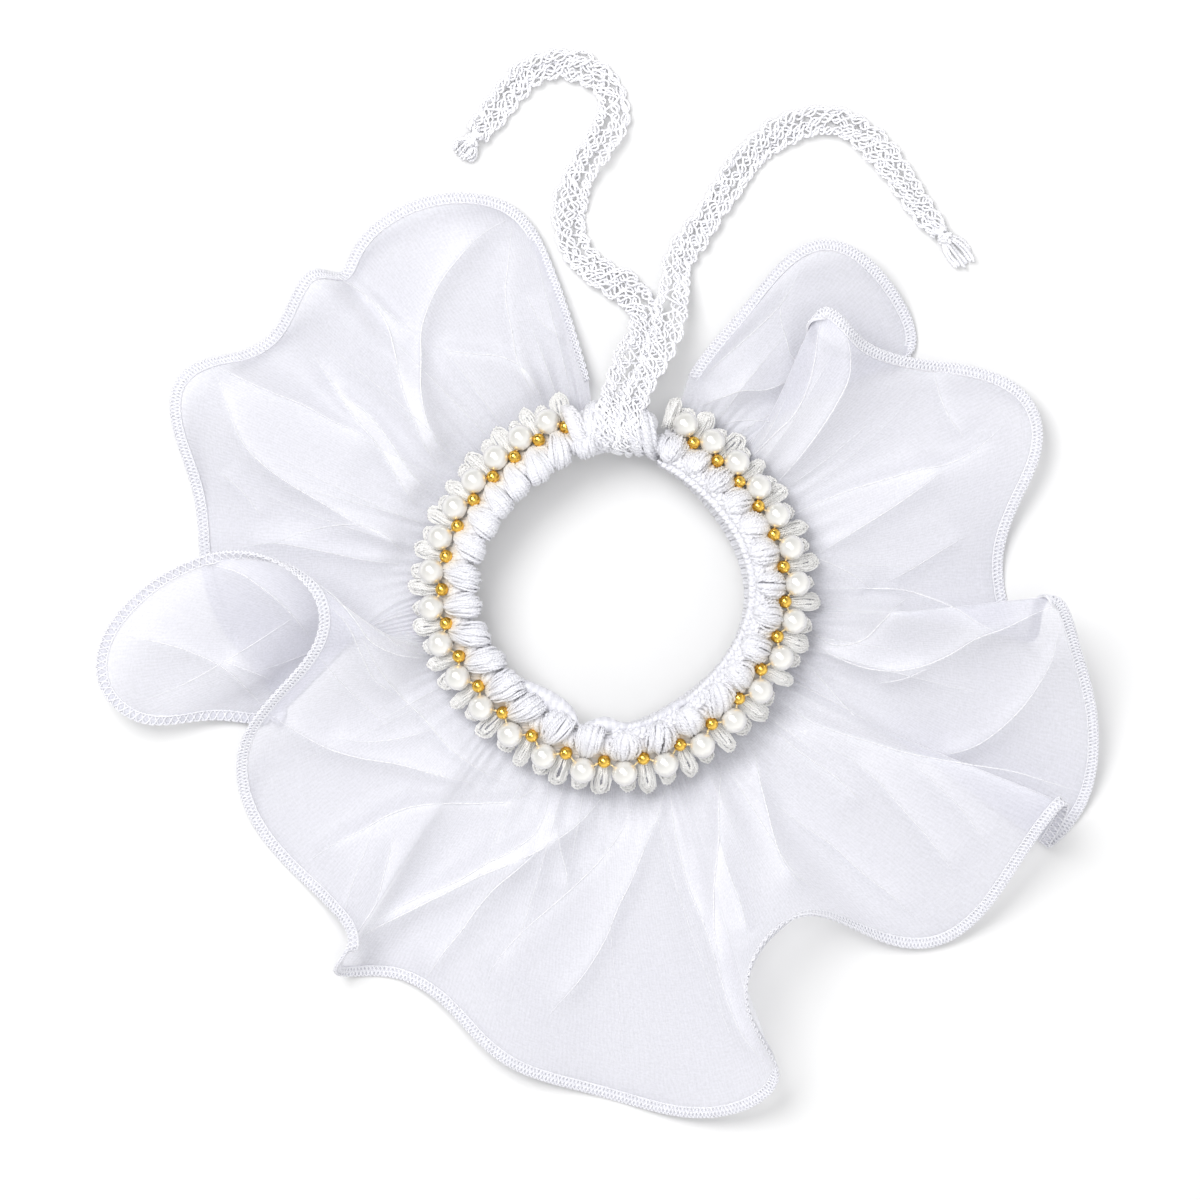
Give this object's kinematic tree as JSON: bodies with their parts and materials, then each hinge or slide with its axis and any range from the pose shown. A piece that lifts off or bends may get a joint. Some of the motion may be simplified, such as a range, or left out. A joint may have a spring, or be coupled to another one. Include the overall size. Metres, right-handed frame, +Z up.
{
  "type": "ruffled collar",
  "caption": "Small dress collar laid flat: a sheer gathered flounce with an overlocked edge on a crocheted neck band trimmed with pearls and gold beads, closed by lace ties.",
  "frame": {"origin": "centre of the box round the flounce and neck band, on the surface the collar lies on; the ties aren't counted", "axes": "+Z up from the surface, +Y from the neck to the ties, +X to the right as seen from above"},
  "size_m": [0.309, 0.331, 0.0327],
  "materials": {
    "organza": "sheer white woven organza, satin, overlocked edge",
    "crochet_yarn": "white mercerised crochet cotton, soft sheen",
    "pearl": "ivory pearl coating",
    "gold_bead": "polished gold plating"
  },
  "bodies": {
    "root": {"ruffle": "organza", "neck_band": "crochet_yarn", "tie_knot": "crochet_yarn", "tie_left": "crochet_yarn", "tie_right": "crochet_yarn", "knot_left": "crochet_yarn", "knot_right": "crochet_yarn", "tail_right": "crochet_yarn", "pearl_strand": "pearl", "gold_bead_01": "gold_bead", "gold_bead_02": "gold_bead", "gold_bead_03": "gold_bead", "gold_bead_04": "gold_bead", "gold_bead_05": "gold_bead", "gold_bead_06": "gold_bead", "gold_bead_07": "gold_bead", "gold_bead_08": "gold_bead", "gold_bead_09": "gold_bead", "gold_bead_10": "gold_bead", "gold_bead_11": "gold_bead", "gold_bead_12": "gold_bead", "gold_bead_13": "gold_bead", "gold_bead_14": "gold_bead", "gold_bead_15": "gold_bead", "gold_bead_16": "gold_bead", "gold_bead_17": "gold_bead", "gold_bead_18": "gold_bead", "gold_bead_19": "gold_bead", "gold_bead_20": "gold_bead", "gold_bead_21": "gold_bead", "gold_bead_22": "gold_bead", "gold_bead_23": "gold_bead", "gold_bead_24": "gold_bead", "gold_bead_25": "gold_bead", "gold_bead_26": "gold_bead", "gold_bead_27": "gold_bead", "gold_bead_28": "gold_bead"}
  },
  "joints": []
}
